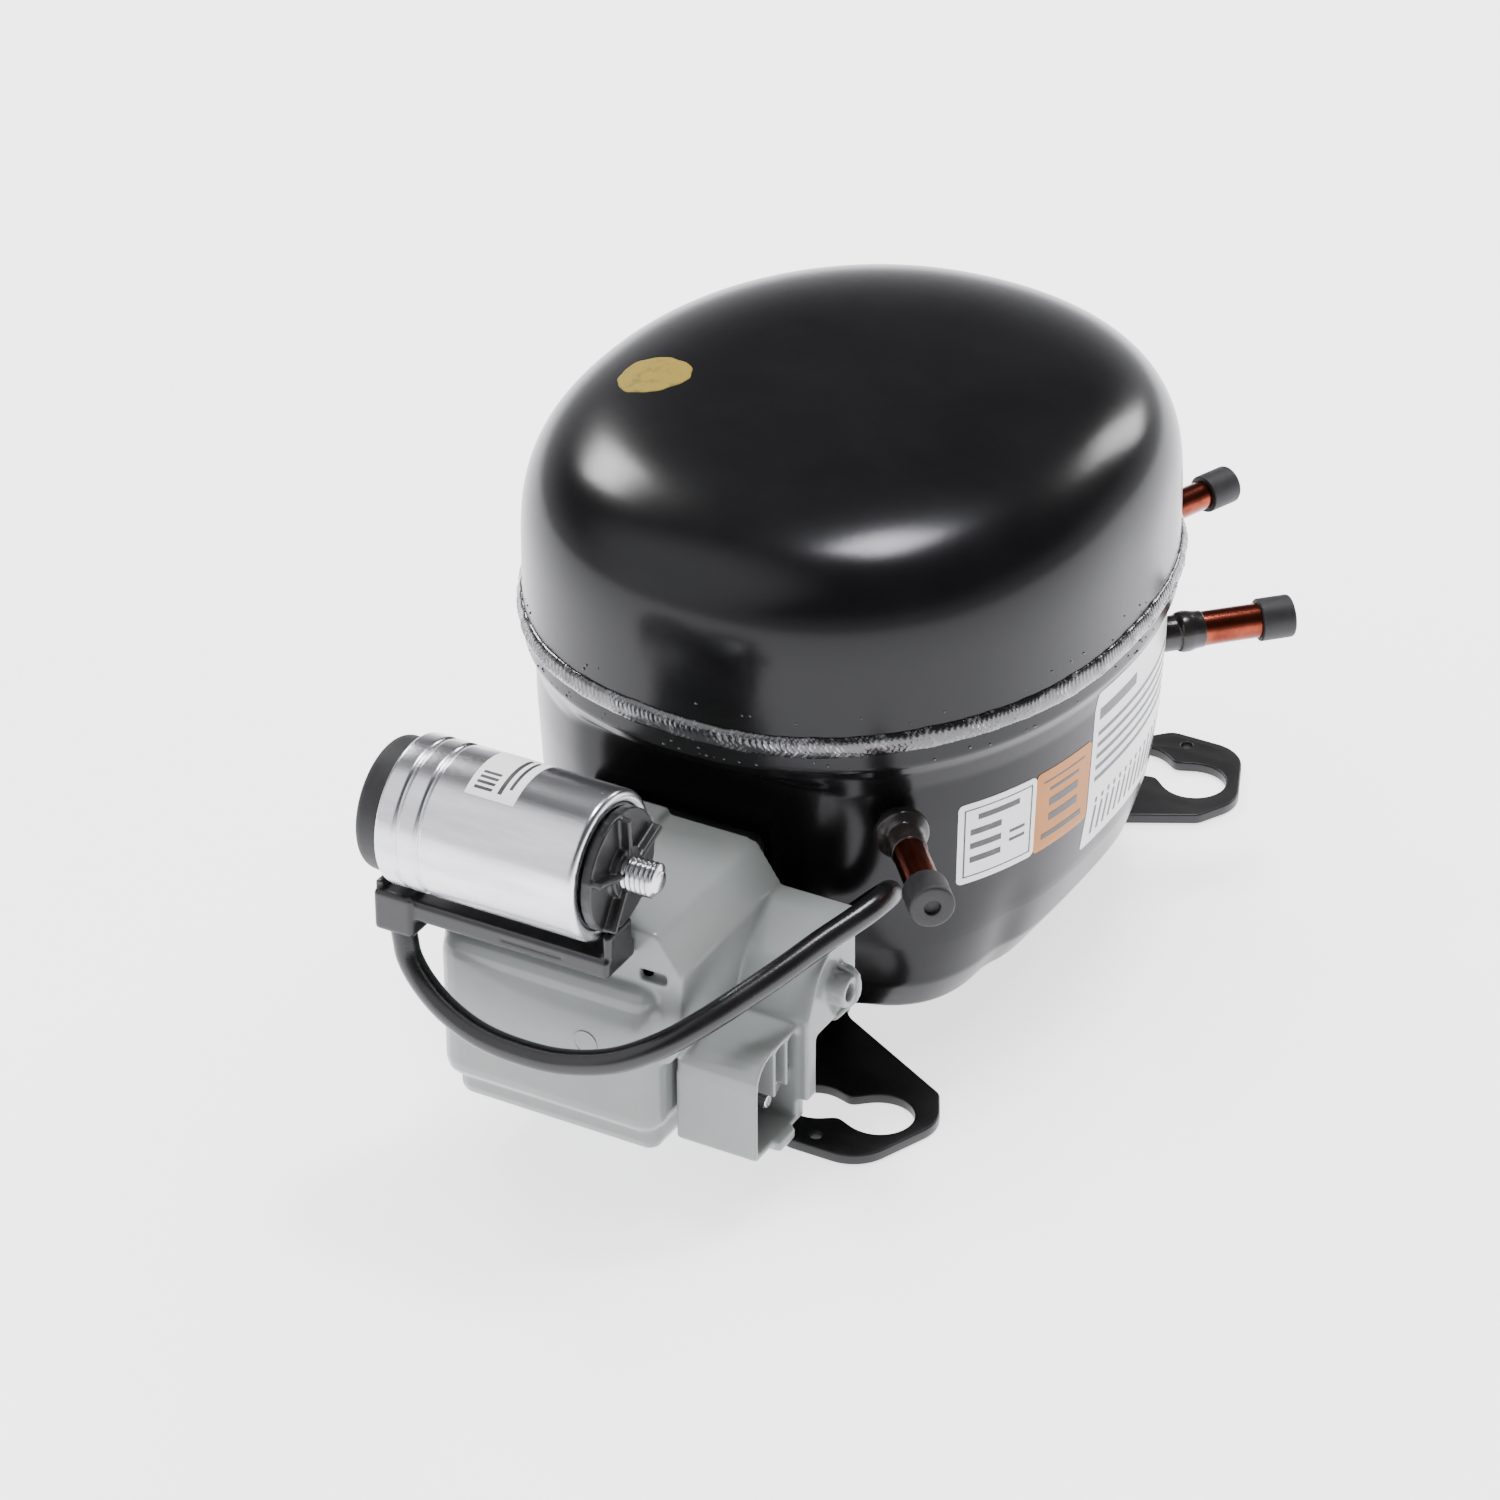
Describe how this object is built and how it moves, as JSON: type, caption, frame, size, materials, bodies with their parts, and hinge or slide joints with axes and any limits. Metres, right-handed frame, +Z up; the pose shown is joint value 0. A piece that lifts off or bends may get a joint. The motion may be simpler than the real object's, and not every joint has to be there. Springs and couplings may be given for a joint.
{
  "type": "hermetic reciprocating compressor",
  "caption": "Hermetic reciprocating compressor: welded oval shell on pierced base plates, capped copper tubes, electrical box with clipped-on capacitor and looped lead.",
  "frame": {"origin": "centre of the mounting-hole pattern, in the plane that the base plates stand on", "axes": "+Z up; -Y towards the electrical box; +Y along the shell's long axis; +X towards the side that the process and suction tubes lean to"},
  "size_m": [0.1592, 0.2682, 0.1419],
  "materials": {
    "gloss_black_paint": "gloss",
    "satin_black_paint": "satin",
    "copper": "satin",
    "black_rubber": "matte",
    "grey_plastic": "satin",
    "black_plastic": "satin",
    "aluminium": "satin",
    "black_cable": "satin",
    "zinc_steel": "satin",
    "cast_iron": "matte",
    "lamination": "satin",
    "enamelled_wire": "satin",
    "spring_steel": "satin",
    "gasket": "matte",
    "white_plastic": "satin"
  },
  "bodies": {
    "shell": {"upper_shell": "gloss_black_paint", "lower_shell": "gloss_black_paint", "weld_bead": "gloss_black_paint", "base_plate_front": "satin_black_paint", "base_plate_rear": "satin_black_paint", "suction_tube": "copper", "discharge_tube": "copper", "process_tube": "copper", "terminal_header": "zinc_steel", "terminal_pin_common": "zinc_steel", "terminal_pin_start": "zinc_steel", "terminal_pin_run": "zinc_steel", "terminal_fence": "satin_black_paint", "starter_relay": "black_plastic", "overload_protector": "black_plastic", "spring_seat_1": "spring_steel", "spring_seat_2": "spring_steel", "spring_seat_3": "spring_steel", "spring_seat_4": "spring_steel"},
    "suction_cap": {"suction_cap": "black_rubber"},
    "discharge_cap": {"discharge_cap": "black_rubber"},
    "process_cap": {"process_cap": "black_rubber"},
    "electrical_box": {"terminal_cover": "grey_plastic", "capacitor_can": "aluminium", "capacitor_boot": "black_rubber", "capacitor_end_cap": "black_plastic", "capacitor_stud": "zinc_steel", "capacitor_bracket": "black_plastic", "capacitor_lead": "black_cable", "supply_terminal_1": "zinc_steel", "supply_terminal_2": "zinc_steel"},
    "pump_unit": {"cylinder_block": "cast_iron", "valve_plate": "spring_steel", "head_gasket": "gasket", "cylinder_head": "aluminium", "head_bolt_1": "zinc_steel", "head_bolt_2": "zinc_steel", "head_bolt_3": "zinc_steel", "head_bolt_4": "zinc_steel", "suction_muffler": "white_plastic", "discharge_line": "copper", "stator_core": "lamination", "winding_upper": "enamelled_wire", "winding_lower": "enamelled_wire", "spring_1": "spring_steel", "spring_2": "spring_steel", "spring_3": "spring_steel", "spring_4": "spring_steel"},
    "crankshaft": {"crankshaft": "cast_iron", "rotor_core": "lamination", "rotor_ring_upper": "aluminium", "rotor_ring_lower": "aluminium", "oil_pickup": "zinc_steel"},
    "gallery_plug": {"gallery_plug": "zinc_steel"},
    "slide_block": {"slide_block": "cast_iron"},
    "piston": {"piston_yoke": "cast_iron"},
    "suction_reed": {"suction_reed": "spring_steel"},
    "discharge_reed": {"discharge_reed": "spring_steel"}
  },
  "joints": [
    {"name": "box_slide", "type": "slide", "parent": "shell", "child": "electrical_box", "axis": [0, -1, 0], "range_m": [0, 0.03]},
    {"name": "pump_float", "type": "slide", "parent": "shell", "child": "pump_unit", "axis": [0, 0, 1], "range_m": [-0.002, 0.002], "stiffness_N_per_m": 30000, "springref_m": 0.0011, "deforming": ["spring_1", "spring_2", "spring_3", "spring_4", "discharge_line"]},
    {"name": "crank_spin", "type": "hinge", "parent": "pump_unit", "child": "crankshaft", "pos_m": [0, -0.006, 0.06], "axis": [0, 0, 1], "continuous": true},
    {"name": "slide_block_turn", "type": "hinge", "parent": "crankshaft", "child": "slide_block", "pos_m": [0, -0.0145, 0.11], "axis": [0, 0, 1], "continuous": true},
    {"name": "gallery_plug_turn", "type": "hinge", "parent": "crankshaft", "child": "gallery_plug", "pos_m": [0, -0.01025, 0.117], "axis": [0, 0, 1], "continuous": true},
    {"name": "piston_travel", "type": "hinge", "parent": "gallery_plug", "child": "piston", "pos_m": [0, -0.0145, 0.11], "axis": [0, 0, 1], "continuous": true},
    {"name": "suction_reed_flex", "type": "hinge", "parent": "pump_unit", "child": "suction_reed", "pos_m": [-0.0075, 0.05209, 0.105], "axis": [0, 0, -1], "range_deg": [0, 8], "stiffness_Nm_per_rad": 0.02, "springref_deg": -1.15},
    {"name": "discharge_reed_flex", "type": "hinge", "parent": "pump_unit", "child": "discharge_reed", "pos_m": [-0.0075, 0.05451, 0.115], "axis": [0, 0, 1], "range_deg": [0, 8], "stiffness_Nm_per_rad": 0.02, "springref_deg": -1.15},
    {"name": "process_cap_slide", "type": "slide", "parent": "shell", "child": "process_cap", "axis": [0.6508, -0.7593, 0], "range_m": [0, 0.012]},
    {"name": "suction_cap_slide", "type": "slide", "parent": "shell", "child": "suction_cap", "axis": [0.7071, 0.7071, 0], "range_m": [0, 0.012]},
    {"name": "discharge_cap_slide", "type": "slide", "parent": "shell", "child": "discharge_cap", "axis": [0.36, 0.933, 0], "range_m": [0, 0.012]}
  ],
  "couplings": [
    {"joint": "slide_block_turn", "follows": "crank_spin", "ratio": -1},
    {"joint": "gallery_plug_turn", "follows": "crank_spin", "ratio": -2},
    {"joint": "piston_travel", "follows": "crank_spin", "ratio": 1}
  ]
}
